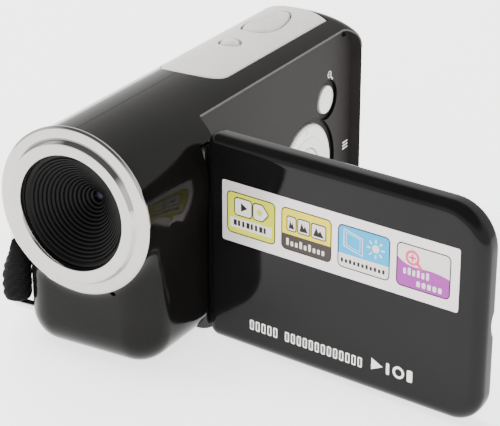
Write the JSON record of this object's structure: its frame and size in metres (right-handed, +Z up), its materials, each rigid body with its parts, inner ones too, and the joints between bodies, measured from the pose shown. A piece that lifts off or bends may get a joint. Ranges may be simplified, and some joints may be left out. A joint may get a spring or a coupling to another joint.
{
  "type": "camcorder",
  "caption": "Pocket camcorder with a chrome-ringed lens, a screen that folds out from the side, top and side buttons, and a hand strap.",
  "frame": {"origin": "mouth of the tripod socket, on the flat base", "axes": "+Z up; the lens looks along -Y; the screen opens to +X and the hand strap is on the -X side"},
  "size_m": [0.1263, 0.113, 0.0584],
  "materials": {
    "casing_black": "high gloss black moulded plastic",
    "chrome": "mirror plated",
    "baffle_black": "semi-matt black with fine ribs",
    "optical_glass": "coated clear glass",
    "inner_black": "plain moulded black",
    "filter_glass": "cyan tinted clear",
    "sensor_black": "ceramic package",
    "board_green": "solder-masked circuit board",
    "flex_amber": "flat polyimide cable",
    "satin_silver": "satin silver lacquer",
    "button_silver": "pale silver-white satin lacquer",
    "tin_plate": "tinned steel",
    "chip_black": "moulded chip package",
    "cell_blue": "plastic sleeve",
    "contact_gold": "gold plated",
    "rubber_black": "soft black rubber",
    "bush_brass": "turned brass",
    "staple_steel": "bright nickel-plated steel wire",
    "strap_black": "ribbed woven nylon webbing",
    "hinge_black": "gloss black moulded plastic",
    "pin_steel": "ground steel",
    "screen_black": "high gloss black moulded plastic",
    "screen_glass": "clear hard-coated acrylic",
    "display_dark": "unlit display",
    "label_foil": "printed silver foil",
    "screw_black": "black-oxide steel",
    "screw_zinc": "zinc-plated steel"
  },
  "bodies": {
    "casing": {"left_shell": "casing_black", "right_shell": "casing_black", "lens_ring": "chrome", "lens_baffle": "baffle_black", "front_lens": "optical_glass", "lens_holder": "inner_black", "rear_lens": "optical_glass", "infrared_filter": "filter_glass", "image_sensor": "sensor_black", "sensor_board": "board_green", "sensor_cable": "flex_amber", "top_panel": "satin_silver", "top_switch_board": "board_green", "top_dome_switches": "tin_plate", "key_board": "board_green", "side_dome_switches": "tin_plate", "side_keypad_frame": "inner_black", "main_board": "board_green", "board_chips": "chip_black", "battery": "cell_blue", "battery_contacts": "contact_gold", "card_slot": "tin_plate", "usb_socket": "tin_plate", "speaker": "inner_black", "microphone": "tin_plate", "tripod_bush": "bush_brass", "strap_staple_front": "staple_steel", "strap_staple_rear": "staple_steel", "hand_strap": "strap_black", "hinge_bracket": "hinge_black", "hinge_pin": "pin_steel", "casing_screws": "screw_black", "board_screws": "screw_zinc"},
    "power_button": {"power_button": "satin_silver"},
    "record_button": {"record_button": "satin_silver"},
    "side_button": {"side_button": "button_silver"},
    "four_way_pad": {"four_way_pad": "button_silver"},
    "ok_button": {"ok_button": "button_silver"},
    "battery_door": {"battery_door": "casing_black"},
    "port_cover": {"port_cover": "rubber_black"},
    "screen": {"screen_hinge_leaf": "hinge_black", "screen_cover": "screen_black", "screen_bezel": "screen_black", "screen_window": "screen_glass", "screen_module": "display_dark", "feature_label": "label_foil", "screen_cable": "flex_amber", "screen_screws": "screw_black"}
  },
  "joints": [
    {"name": "screen_hinge", "type": "hinge", "parent": "casing", "child": "screen", "pos_m": [0.0153, -0.0164, 0.025], "axis": [0, 0, 1], "range_deg": [0, 96.6]},
    {"name": "power_press", "type": "slide", "parent": "casing", "child": "power_button", "axis": [0, 0, -1], "range_m": [0, 0.00055], "stiffness_N_per_m": 2500},
    {"name": "record_press", "type": "slide", "parent": "casing", "child": "record_button", "axis": [0, 0, -1], "range_m": [0, 0.00055], "stiffness_N_per_m": 2500},
    {"name": "side_press", "type": "slide", "parent": "casing", "child": "side_button", "axis": [-1, 0, 0], "range_m": [0, 0.00055], "stiffness_N_per_m": 2500},
    {"name": "pad_press", "type": "slide", "parent": "casing", "child": "four_way_pad", "axis": [-1, 0, 0], "range_m": [0, 0.00055], "stiffness_N_per_m": 2500},
    {"name": "ok_press", "type": "slide", "parent": "casing", "child": "ok_button", "axis": [-1, 0, 0], "range_m": [0, 0.00055], "stiffness_N_per_m": 2500},
    {"name": "battery_door_slide", "type": "slide", "parent": "casing", "child": "battery_door", "axis": [0, 1, 0], "range_m": [0, 0.008]},
    {"name": "port_cover_flap", "type": "hinge", "parent": "casing", "child": "port_cover", "pos_m": [0.0046, 0.06463, 0.02098], "axis": [-1, 0, 0], "range_deg": [0, 100]}
  ]
}
